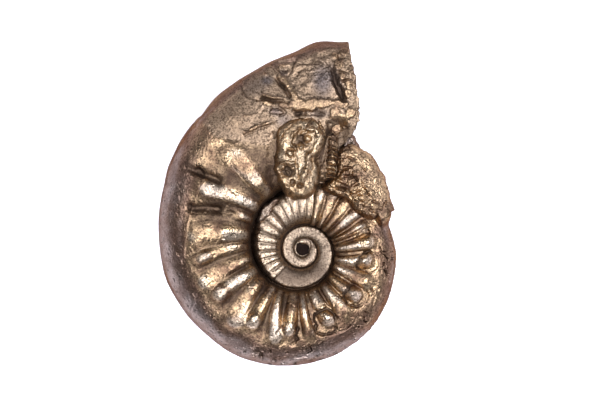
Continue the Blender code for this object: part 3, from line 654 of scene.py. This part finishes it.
def pillow(name, rings, spokes):
    """A lump as rings from its centre to its outline and spokes round it. Its height over the plan is a crown
    that keeps level and rolls off at the edge, a superellipse, with its detail added; its sides are jagged, and at
    the edge it reaches its foot, inside the shell, and is closed there. Cracks and the sides count as hollows and are
    painted with shade."""
    outline, centre, (crown, slope_x, slope_y), foot, square = LUMP_SHAPES[name]
    outline = np.array(outline) - centre
    angles = np.arctan2(outline[:, 1], outline[:, 0])
    order = np.argsort(angles)
    turn = np.linspace(-math.pi, math.pi, spokes + 1)[:-1]
    reach = np.interp(turn, angles[order], np.hypot(*outline[order].T), period=2 * math.pi)
    blur = spokes // 100
    reach = sum(np.roll(reach, k) for k in range(-blur, blur + 1)) / (2 * blur + 1)
    edge = np.stack([np.cos(turn), np.sin(turn), 0 * turn], axis=-1) * reach[:, None]
    reach = reach + 0.10 * grain(edge, 0.7, 71.0) + 0.05 * grain(edge, 0.3, 72.0)
    swing = np.linspace(0.0, math.pi / 2, rings)[:, None]
    out = np.sin(swing) ** (2.0 / square)
    rise = np.cos(swing).clip(0.0) ** (2.0 / square)
    x = centre[0] + out * reach * np.cos(turn)
    y = centre[1] + out * reach * np.sin(turn)
    top = crown + slope_x * (x - centre[0]) + slope_y * (y - centre[1])
    relief = lump_detail(name, x, y)
    height = foot + (top - foot) * rise + relief * smooth(0.0, 0.4, rise)
    points = np.stack([x, y, height], axis=-1)
    jagged = (0.10 + 0.20 * crumble(points, 0.9, 73.0) + 0.10 * crumble(points, 0.4, 74.0)) * smooth(0.55, 0.15, rise)
    points[..., 0] -= jagged * np.cos(turn)
    points[..., 1] -= jagged * np.sin(turn)
    points = points.reshape(-1, 3)
    table = np.arange(rings * spokes).reshape(rings, spokes)
    table = np.concatenate([table, table[:, :1]], axis=1)
    table[0] = table[0, 0]
    points = np.concatenate([points, [[centre[0], centre[1], foot]]])
    faces = np.concatenate([grid_triangles(table), fan(table[-1], rings * spokes)])
    # Painted shade in the cracks and on the sides, over all of the crystal bed, and in the gaps between the
    # platelets.
    shaded = np.maximum(smooth(-0.18, -0.46, relief) * smooth(0.1, 0.5, rise), 0.7 * smooth(0.45, 0.10, rise))
    if name == "crystal_bed":
        shaded = np.maximum(shaded, 0.55)
    if name == "platelet_stack":
        shaded = np.maximum(shaded, smooth(-0.06, -0.22, relief))
    marks = {"hollow": shaded, "plate": 0.35 * smooth(0.25, 0.0, relief)}
    values = {key: np.append(marks[key].ravel(), 0.0) for key in marks}
    values["inner"] = values["worn"] = np.zeros(len(points))
    values["grey"] = np.full(len(points), 0.75 if name == "notch_rock" else 0.0)
    brown_edge = 0.30 * smooth(0.80, 0.97, out) * smooth(0.0, 0.5, np.cos(turn)) if name == "right_crust" else 0.0 * x
    values["outer"] = np.append(brown_edge.ravel(), 0.0)
    return points, values, faces


def fan(loop, hub):
    """Triangles from each stretch of a closed loop to one point."""
    return np.stack([loop[:-1], loop[1:], np.full(len(loop) - 1, hub)], axis=-1)


def grid_triangles(table):
    """Two triangles for each cell of a table of point numbers, leaving out those that have closed up."""
    a, b, c, d = table[:-1, :-1], table[:-1, 1:], table[1:, 1:], table[1:, :-1]
    faces = np.concatenate([np.stack([a, b, c], -1).reshape(-1, 3), np.stack([a, c, d], -1).reshape(-1, 3)])
    open_ = (faces[:, 0] != faces[:, 1]) & (faces[:, 1] != faces[:, 2]) & (faces[:, 2] != faces[:, 0])
    return faces[open_]


def make_piece(name, points, faces, attributes, material):
    """A smooth mesh object from arrays of points in millimetres, triangles and values at the points."""
    used, faces = np.unique(faces, return_inverse=True)
    faces = faces.reshape(-1, 3)
    points = placed(points[used]) * MM
    mesh = bpy.data.meshes.new(name)
    mesh.vertices.add(len(points))
    mesh.vertices.foreach_set("co", points.astype(np.float32).ravel())
    mesh.loops.add(faces.size)
    mesh.loops.foreach_set("vertex_index", faces.astype(np.int32).ravel())
    mesh.polygons.add(len(faces))
    mesh.polygons.foreach_set("loop_start", np.arange(0, faces.size, 3, dtype=np.int32))
    mesh.update(calc_edges=True)
    mesh.validate()
    for key, values in attributes.items():
        values = np.asarray(values, dtype=np.float32)[used]
        mesh.attributes.new(key, "FLOAT", "POINT").data.foreach_set("value", values)
    solid = bmesh.new()
    solid.from_mesh(mesh)
    bmesh.ops.recalc_face_normals(solid, faces=solid.faces[:])
    solid.to_mesh(mesh)
    solid.free()
    mesh.shade_smooth()
    mesh.materials.append(material)
    piece = bpy.data.objects.new(name, mesh)
    bpy.context.scene.collection.objects.link(piece)
    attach(piece, "root")
    return piece


def shell_mesh(sizes):
    """The whole coil as one closed skin: a strip for each side along the spiral, whose inner edge is the outer
    edge of the strip a whorl further in, pits in the middle and a face across the broken mouth."""
    steps = sizes.steps
    step = WHORL / steps
    rows = int(round(-START_TURN / step)) + 1
    last = rows - 1 - steps
    turns = ((np.arange(rows) - (rows - 1)) * step)[:, None]
    height = sizes.rib_height / MM
    store, faces, values = [], [], {key: [] for key in MARKS}
    tables = []
    count = 0
    edge = None
    for side, flank_strips, venter_strips in STRIPS:
        across = np.concatenate([np.linspace(0, 1, flank_strips + 1), 1 + np.linspace(0, 1, venter_strips + 1)[1:]])
        bed = -SKIN_BED * skin_cover(turns, across[None, :]) if side > 0 else 0.0
        knobs = sizes.knob_share * (1.0 if side > 0 else UNDERSIDE_KNOBS)
        ribs = height * (1.0 if side > 0 else UNDERSIDE_RIBS)
        points, marks = flank(turns, across[None, :], side, ribs, knobs, bed)
        outer = points[steps:, :1]
        begun = smooth(START_TURN, START_TURN + START_FADE, turns[: len(outer), :, None])
        points[: len(outer), :flank_strips] = outer + (points[: len(outer), :flank_strips] - outer) * begun
        own = np.zeros((rows, len(across)), dtype=bool)
        own[1:, :flank_strips] = True
        own[last:, flank_strips:-1] = True
        own[last, flank_strips] = False
        if edge is None:
            own[last:, -1] = True
        table = np.full(own.shape, -1)
        table[own] = count + np.arange(own.sum())
        count += int(own.sum())
        if edge is None:
            edge = table[last:, -1].copy()
        table[last:, -1] = edge
        table[: last + 1, flank_strips] = table[steps : steps + last + 1, 0]
        table[0, : flank_strips + 1] = table[steps, 0]
        store.append(points[own])
        for key in values:
            values[key].append(marks[key][own])
        faces.append(grid_triangles(table[: last + 1, : flank_strips + 1]))
        faces.append(grid_triangles(table[last:]))
        tables.append((table, flank_strips, side))
    points = np.concatenate(store)
    values = {key: np.concatenate(parts) for key, parts in values.items()}
    for table, _, side in tables:
        points, values, faces = add_pit(points, values, faces, table[: steps + 1, 0], side, sizes)
    return add_mouth_face(points, values, faces, tables, last)


def skin_cover(turn, across):
    """1 well inside a fine skin and 0 towards its free edges, where the coil's own surface shows."""
    cover = np.zeros(np.broadcast(turn, across).shape)
    for first, last, low, high, _, _ in SKINS.values():
        begins = smooth(first + 2.5, first + 5.0, turn) if first == SKINS["right_flank"][0] else 1.0 * (turn >= first)
        inside = smooth(low + 0.04, low + 0.09, across) * (1.0 - smooth(high - 0.12, high - 0.05, across))
        ends = 1.0 - smooth(-2.0, -0.6, turn) if last == 0.0 else 1.0 * (turn <= last)
        cover = np.maximum(cover, begins * ends * inside)
    return cover


def skin_mesh(name, sizes):
    """A fine closed sheet over part of the coil: the coil's own surface with its relief, sunk at the free edges,
    and a coarse underside 0.9 mm lower inside the shell."""
    first, last, low, high, rows, columns = SKINS[name]
    turns = np.linspace(first, last, rows)[:, None]
    across = np.linspace(low, high, columns)[None, :]
    height = sizes.rib_height / MM
    plain, _ = flank(turns, across, 1.0, height, sizes.knob_share)
    detail = mouth_detail(plain) if name == "broken_flank" else flank_detail(plain)
    if name == "left_flank":
        detail = detail + (mouth_detail(plain) - detail) * smooth(-54.0, -50.0, turns)
    kept = smooth(low, low + 0.03, across) * (1.0 - smooth(high - 0.04, high, across))
    if name == "broken_flank":
        detail = np.minimum(detail, 0.25) * (1.0 - 0.85 * smooth(1.70, 1.84, across))
    starts, ends = SKIN_ENDS[name]
    if starts:
        kept = kept * smooth(first, first + starts, turns)
    if ends:
        kept = kept * (1.0 - smooth(last - ends, last, turns))
    detail = np.maximum(detail, DEEPEST)
    raised = detail * kept + SKIN_PROUD - SKIN_SINK * (1.0 - kept)
    top, marks = flank(turns, across, 1.0, height, sizes.knob_share, raised)
    # Painted shade, with tarnished pyrite, in the cracks and grooves of the detail.
    deep_tarnish_and_shade = smooth(-0.12, -0.42, detail) if name == "broken_flank" else smooth(-0.14, -0.30, detail)
    marks["hollow"] = np.maximum(marks["hollow"], deep_tarnish_and_shade)
    marks["plate"] = marks["plate"] * (1.0 - 0.8 * smooth(0.10, 0.25, detail))
    under = top[:, :: columns // 6].copy()
    under = np.concatenate([under[:, :6], top[:, -1:]], axis=1)
    under[..., 2] -= SKIN_THICKNESS
    count = top.shape[0] * top.shape[1]
    upper = np.arange(count).reshape(top.shape[:2])
    lower = count + np.arange(under.shape[0] * under.shape[1]).reshape(under.shape[:2])
    hubs = count + lower.size + np.arange(2)
    points = np.concatenate([top.reshape(-1, 3), under.reshape(-1, 3), [top[0].mean(0), top[-1].mean(0)]])
    points[hubs, 2] -= 1.0
    faces = [grid_triangles(upper), grid_triangles(lower)]
    for column in (0, -1):
        faces.append(grid_triangles(np.stack([upper[:, column], lower[:, column]])))
    for end, hub in zip((0, -1), hubs):
        faces.append(fan(np.concatenate([upper[end], lower[end, ::-1], upper[end, :1]]), hub))
    values = {key: np.concatenate([marks[key].ravel(), np.zeros(lower.size + 2)]) for key in marks}
    return points, values, np.concatenate(faces)


def add_points(points, values, new, marks):
    """Adds points with the same values at each of them, and gives their numbers."""
    table = len(points) + np.arange(int(np.prod(new.shape[:-1]))).reshape(new.shape[:-1])
    points = np.concatenate([points, new.reshape(-1, 3)])
    values = {key: np.concatenate([old, np.full(table.size, marks.get(key, 0.0))]) for key, old in values.items()}
    return points, values, table


def add_pit(points, values, faces, loop, side, sizes):
    """Closes the middle of the umbilicus with a pit: rings that shrink from the first chamber's edge to an oval
    hole and go down it."""
    rim = points[loop]
    angle = np.arctan2(rim[:, 1], rim[:, 0])
    notch = np.exp(-(((np.degrees(angle) - 130.0 + 180.0) % WHORL - 180.0) / 20.0) ** 2)
    hole = sizes.pit_radius / MM * (1.0 + 0.10 * np.sin(2 * angle + 1.2) + 0.40 * notch)
    top = np.abs(rim[:, 2]).min() if side < 0 else np.median(np.abs(rim[:, 2]))
    rings = []
    for inward, depth in PIT_RINGS:
        share = min(inward, 1.0)
        radius = np.linalg.norm(rim[:, :2], axis=1) * (1 - share) + hole * share
        if inward in PIT_SHARES_INSIDE:
            radius = hole * inward
        flat = np.stack([np.cos(angle) * radius, np.sin(angle) * radius], axis=-1)
        height = side * max(top - depth, PIT_FLOOR) * np.ones(len(rim))
        if inward < 1.0 and depth < 0.1:
            height = rim[:, 2] * (1 - share) + side * (top * share - depth)
        ring = np.concatenate([flat, height[:, None]], axis=1)
        ring[-1] = ring[0]
        rings.append(ring)
    rings = np.array(rings)
    points, values, table = add_points(points, values, rings, {"inner": 1.0})
    # Painted shade: the inside of the hole is painted black.
    values["hollow"][table[4:].ravel()] = 1.5
    table[:, -1] = table[:, 0]
    table[-1] = table[-1, 0]
    faces.append(grid_triangles(np.concatenate([loop[None, :], table])))
    return points, values, faces


def add_mouth_face(points, values, faces, tables, last):
    """Closes the broken mouth: rows blend from the last section to the edge of the whorl it wraps, bulge forward
    and are rough."""
    (upper, upper_flank, _), (lower, lower_flank, _) = tables
    outer = np.concatenate([upper[-1], lower[-1, -2::-1]])
    inner = np.concatenate([upper[last, upper_flank:], lower[last, -2 : lower_flank - 1 : -1]])
    across = np.linspace(0, 1, len(outer))
    shares = np.linspace(0, 1, len(inner))
    target = np.stack([np.interp(across, shares, points[inner, axis]) for axis in range(3)], axis=-1)
    blend = np.linspace(0, 1, MOUTH_ROWS)[1:-1, None, None]
    rows = points[outer] * (1 - blend) + target * blend
    growth = math.radians(MOUTH_DIRECTION - 90.0)
    forward = np.array([math.cos(growth), math.sin(growth), 0.0])
    rough = 1.1 + 0.5 * grain(rows, 1.8, 7.0) + 0.35 * crumble(rows, 0.9, 8.0) + 0.15 * crumble(rows, 0.4, 39.0)
    bulge = np.sin(math.pi * blend[..., 0]) * np.sin(math.pi * across)[None, :] * rough
    rows = rows + forward * bulge[..., None]
    points, values, table = add_points(points, values, rows, {"hollow": 0.35, "plate": 1.0})
    table[:, 0], table[:, -1] = outer[0], outer[-1]
    nearest = inner[np.round(across * (len(inner) - 1)).astype(int)]
    nearest[0], nearest[-1] = inner[0], inner[-1]
    faces.append(grid_triangles(np.concatenate([outer[None, :], table, nearest[None, :]])))
    return points, values, np.concatenate(faces)


def node(tree, kind, links=None, **settings):
    """Adds a node with its settings. links gives each input a source socket or a value."""
    made = tree.nodes.new(kind)
    for key, value in settings.items():
        setattr(made, key, value)
    for key, source in (links or {}).items():
        if isinstance(source, bpy.types.NodeSocket):
            tree.links.new(source, made.inputs[key])
        else:
            made.inputs[key].default_value = source
    return made


def pyrite_with_painted_light(name, colours, roughness, dullness):
    """Pyrite, a metallic iron sulphide: bronze to the eye, with a painted highlight on the crests, partly standing
    for their polish by handling, browner and duller in the hollows, partly tarnished and partly painted shade,
    silvery brown on the first whorls, greyer on the broken plates, brown and then paler towards the rim, the paler
    edge partly a painted sheen, and painted black shade in the centre hole."""
    material = bpy.data.materials.new(name)
    material.use_nodes = True
    tree = material.node_tree
    shader = tree.nodes["Principled BSDF"]
    place = node(tree, "ShaderNodeTexCoord").outputs["Object"]
    marks = {key: node(tree, "ShaderNodeAttribute", attribute_name=key).outputs["Fac"] for key in MARKS}
    patches, fine, spots = (
        node(tree, "ShaderNodeTexNoise", {"Vector": place, "Scale": scale, "Detail": detail, "Roughness": uneven})
        .outputs["Fac"]
        for scale, detail, uneven in ((BLOTCHES, 6.0, 0.72), (FINE_GRAIN, 2.0, 0.5), (SPOTS, 3.0, 0.5)))
    patch, band, edge, speck, pit, gloss = (
        node(tree, "ShaderNodeMapRange", {"Value": source, "From Min": low, "From Max": high, "To Min": least,
                                          "To Max": most}).outputs["Result"]
        for source, low, high, least, most in (
            (patches, 0.40, 0.60, 0.0, 1.0), (marks["outer"], 0.10, 0.40, 0.0, 0.85),
            (marks["outer"], 0.44, 0.74, 0.0, 0.85), (fine, 0.45, 0.68, 0.0, 0.85),
            (marks["hollow"], 1.02, 1.3, 0.0, 1.0), (patches, 0.35, 0.65, roughness, roughness + 0.20)))
    rubbed_and_highlit, paler, deep_tarnish_and_shade, unbroken, clear = (
        node(tree, "ShaderNodeMath", {0: source, 1: factor, 2: rest}, operation="MULTIPLY_ADD").outputs[0]
        for source, factor, rest in ((marks["worn"], 0.60, 0.0), (marks["inner"], 0.80, 0.0),
                                     (marks["hollow"], 0.85, 0.0), (patch, -0.5, 1.0), (edge, -0.6, 1.0)))
    mottled_edge_sheen, specks = (node(tree, "ShaderNodeMath", {0: a, 1: b}, operation="MULTIPLY").outputs[0]
                       for a, b in ((edge, unbroken), (speck, clear)))
    # Painted light in these mixes: silver on the crests is partly a painted highlight, the edge colour partly a
    # painted sheen, the dark of the hollows partly painted shade, and the hole's black painted shade.
    layered = colours["bronze"]
    for share, key in ((patch, "brown"), (rubbed_and_highlit, "silver"), (paler, "first"), (marks["plate"], "plate"),
                       (marks["grey"], "grey"), (band, "rim"), (mottled_edge_sheen, "edge"), (deep_tarnish_and_shade, "tarnish"),
                       (specks, "tarnish"), (pit, "black")):
        layered = node(tree, "ShaderNodeMix", {0: share, 6: layered, 7: colours[key]}, data_type="RGBA").outputs[2]
    tree.links.new(layered, shader.inputs["Base Color"])
    rough = gloss
    for source, factor in ((marks["hollow"], dullness), (edge, 0.04), (marks["plate"], 0.14)):
        rough = node(tree, "ShaderNodeMath", {0: source, 1: factor, 2: rough}, operation="MULTIPLY_ADD").outputs[0]
    tree.links.new(rough, shader.inputs["Roughness"])
    shader.inputs["Metallic"].default_value = 1.0
    shader.inputs["Specular Tint"].default_value = linear("#A0928E")
    coarse_bump = node(tree, "ShaderNodeBump", {"Height": spots, "Strength": 0.5, "Distance": 0.00005})
    bump = node(tree, "ShaderNodeBump", {"Height": fine, "Strength": 0.9, "Distance": 0.00006,
                                         "Normal": coarse_bump.outputs["Normal"]})
    tree.links.new(bump.outputs["Normal"], shader.inputs["Normal"])
    return material


class AmmoniteSizes(bpy.types.PropertyGroup):
    """Sizes of the fossil."""

    rib_height: bpy.props.FloatProperty(
        name="Rib height", description="How far the ribs stand above the grooves", default=0.00056, unit="LENGTH"
    )
    knob_share: bpy.props.FloatProperty(
        name="Knobs", description="How strong the knobs at the rib ends are", default=1.2, subtype="FACTOR"
    )
    pit_radius: bpy.props.FloatProperty(
        name="Centre hole", description="Radius of the hole in the middle", default=0.00066, unit="LENGTH"
    )
    steps: bpy.props.IntProperty(name="Steps", description="Steps of the skin for each whorl", default=540)


def colour(name, description, hex_colour):
    """A colour that a user can change."""
    return bpy.props.FloatVectorProperty(name=name, description=description, default=linear(hex_colour), size=4,
                                         subtype="COLOR")


class AmmoniteColours(bpy.types.PropertyGroup):
    """Colours of the fossil and the stage."""

    bronze: colour("Bronze", "Polished pyrite", "#C0A27E")
    brown: colour("Brown", "Tarnished pyrite", "#775D4A")
    # Silver on the crests stands partly for wear and partly for a painted highlight.
    silver: colour("Silver", "Pyrite rubbed bright on the crests", "#DCCDBB")
    # The colour of the hollows is partly tarnished pyrite and partly painted shade.
    tarnish: colour("Tarnish", "Tarnish in the hollows", "#46382F")
    plate: colour("Plate", "Duller broken plates", "#957F69")
    rim: colour("Rim", "Brown band before the edge", "#6A544A")
    # The paler edge is partly the venter's own tone and partly a painted sheen of the floor's reflection.
    edge: colour("Edge", "Paler outer edge", "#918580")
    grey: colour("Grey", "Grey patches of the broken flank", "#6B6260")
    gold: colour("Gold", "Bright crystal crust", "#BDA78A")
    first: colour("First whorls", "Silvery brown of the first whorls", "#B2A08C")
    # The black of the centre hole is painted shade.
    black: colour("Hole", "Soot black of the centre hole", "#1A1310")
    floor: colour("Floor", "Matt white paper", "#F4F3FA")


class AMMONITE_OT_shell(bpy.types.Operator):
    """Builds the coiled shell and hides the plain solid that it stands for."""

    bl_idname = "ammonite.shell"
    bl_label = "Coiled shell"

    def execute(self, context):
        points, values, faces = shell_mesh(context.scene.ammonite_sizes)
        material = pyrite_with_painted_light("handled_tarnished_pyrite", palette(context), 0.24, 0.15)
        piece = make_piece("coiled_shell", points, faces, values, material)
        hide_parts("ammonite")
        return {"FINISHED"}


def palette(context, **swaps):
    """The colours as plain values, with some swapped for others."""
    colours = context.scene.ammonite_colours
    keys = ("bronze", "brown", "silver", "tarnish", "plate", "rim", "edge", "grey", "gold", "first", "black")
    found = {key: tuple(getattr(colours, key)) for key in keys}
    return {key: found[swaps.get(key, key)] for key in keys}


class AMMONITE_OT_skins(bpy.types.Operator):
    """Builds the fine skins of the flank: the broken one before the mouth, and those on the left and the right."""

    bl_idname = "ammonite.skins"
    bl_label = "Fine skins"

    def execute(self, context):
        material = pyrite_with_painted_light("flaked_tarnished_pyrite", palette(context), 0.24, 0.20)
        for name in SKINS:
            points, values, faces = skin_mesh(name, context.scene.ammonite_sizes)
            make_piece(name, points, faces, values, material)
        return {"FINISHED"}


class AMMONITE_OT_lumps(bpy.types.Operator):
    """Builds the lump on the umbilical edge, the stack of platelets, the crust, the rock in the notch and the
    loose flake."""

    bl_idname = "ammonite.lumps"
    bl_label = "Crystal lumps"

    def execute(self, context):
        crystals = pyrite_with_painted_light("crystalline_pyrite_crust", palette(context), 0.24, 0.20)
        grown = pyrite_with_painted_light("grown_pyrite_lump", palette(context, bronze="gold", brown="bronze"), 0.26, 0.15)
        silvery = pyrite_with_painted_light("silvery_pyrite_flake", palette(context, bronze="silver", brown="rim"), 0.26, 0.2)
        looks = {"umbilical_flake": silvery, "umbilical_lump": grown}
        for name, rings, spokes in LUMP_GRIDS:
            points, values, faces = pillow(name, rings, spokes)
            make_piece(name, points, faces, values, looks.get(name, crystals))
        return {"FINISHED"}


class AMMONITE_OT_stage(bpy.types.Operator):
    """Lays the floor, hangs the lights and stands the camera straight above."""

    bl_idname = "ammonite.stage"
    bl_label = "Floor, lights and camera"

    def execute(self, context):
        scene = context.scene
        scene.view_settings.view_transform = "Standard"
        paper = bpy.data.materials.new("matt_white_paper")
        paper.use_nodes = True
        shader = paper.node_tree.nodes["Principled BSDF"]
        shader.inputs["Base Color"].default_value = tuple(scene.ammonite_colours.floor)
        shader.inputs["Roughness"].default_value = 0.9
        shader.inputs["Emission Color"].default_value = tuple(scene.ammonite_colours.floor)
        shader.inputs["Emission Strength"].default_value = FLOOR_GLOW
        mesh = bpy.data.meshes.new("floor")
        corners = [(x * FLOOR_REACH, y * FLOOR_REACH, 0) for x, y in ((-1, -1), (1, -1), (1, 1), (-1, 1))]
        mesh.from_pydata(corners, [], [(0, 1, 2, 3)])
        mesh.materials.append(paper)
        floor = bpy.data.objects.new("floor", mesh)
        scene.collection.objects.link(floor)
        for name, azimuth, elevation, distance, size, power, tint in SOFTBOXES:
            light = bpy.data.lights.new(name, "AREA")
            light.size = size
            light.energy = power
            light.color = linear(tint)[:3]
            lamp = bpy.data.objects.new(name, light)
            a, e = math.radians(azimuth), math.radians(elevation)
            lamp.location = (distance * math.cos(a) * math.cos(e), distance * math.sin(a) * math.cos(e),
                             distance * math.sin(e))
            lamp.rotation_euler = (math.pi / 2 - e, 0.0, a + math.pi / 2)
            scene.collection.objects.link(lamp)
        world = bpy.data.worlds.new("studio")
        world.use_nodes = True
        tree = world.node_tree
        place = node(tree, "ShaderNodeTexCoord").outputs["Generated"]
        up = node(tree, "ShaderNodeSeparateXYZ", {"Vector": place}).outputs["Z"]
        fall = node(tree, "ShaderNodeMapRange", {"Value": up, "From Min": 0.1, "From Max": 0.9, "To Min": 0.14,
                                                 "To Max": 0.34}).outputs["Result"]
        background = tree.nodes["Background"]
        background.inputs["Color"].default_value = linear("#F2F0F8")
        tree.links.new(fall, background.inputs["Strength"])
        scene.world = world
        camera = bpy.data.cameras.new("camera")
        camera.lens = CAMERA_LENS
        camera.sensor_width = 36.0
        eye = bpy.data.objects.new("camera", camera)
        eye.location = (*CAMERA_PLACE, CAMERA_HEIGHT + COIL_CENTRE[2] * MM)
        scene.collection.objects.link(eye)
        scene.camera = eye
        return {"FINISHED"}


class AMMONITE_PT_panel(bpy.types.Panel):
    """Lists the sizes, the colours and the steps."""

    bl_label = "Ammonite"
    bl_space_type = "VIEW_3D"
    bl_region_type = "UI"
    bl_category = "Ammonite"

    def draw(self, context):
        for group in (context.scene.ammonite_sizes, context.scene.ammonite_colours):
            for key in group.bl_rna.properties.keys():
                if key not in ("rna_type", "name"):
                    self.layout.prop(group, key)
        for operator in OPERATORS:
            self.layout.operator(operator.bl_idname)


OPERATORS = (AMMONITE_OT_shell, AMMONITE_OT_skins, AMMONITE_OT_lumps, AMMONITE_OT_stage)
CLASSES = (AmmoniteSizes, AmmoniteColours, *OPERATORS, AMMONITE_PT_panel)


def register():
    for cls in CLASSES:
        bpy.utils.register_class(cls)
    bpy.types.Scene.ammonite_sizes = bpy.props.PointerProperty(type=AmmoniteSizes)
    bpy.types.Scene.ammonite_colours = bpy.props.PointerProperty(type=AmmoniteColours)


def unregister():
    del bpy.types.Scene.ammonite_colours
    del bpy.types.Scene.ammonite_sizes
    for cls in reversed(CLASSES):
        bpy.utils.unregister_class(cls)


def main():
    register()
    bpy.ops.ammonite.shell()
    bpy.ops.ammonite.skins()
    bpy.ops.ammonite.lumps()
    bpy.ops.ammonite.stage()


if __name__ == "__main__":
    main()
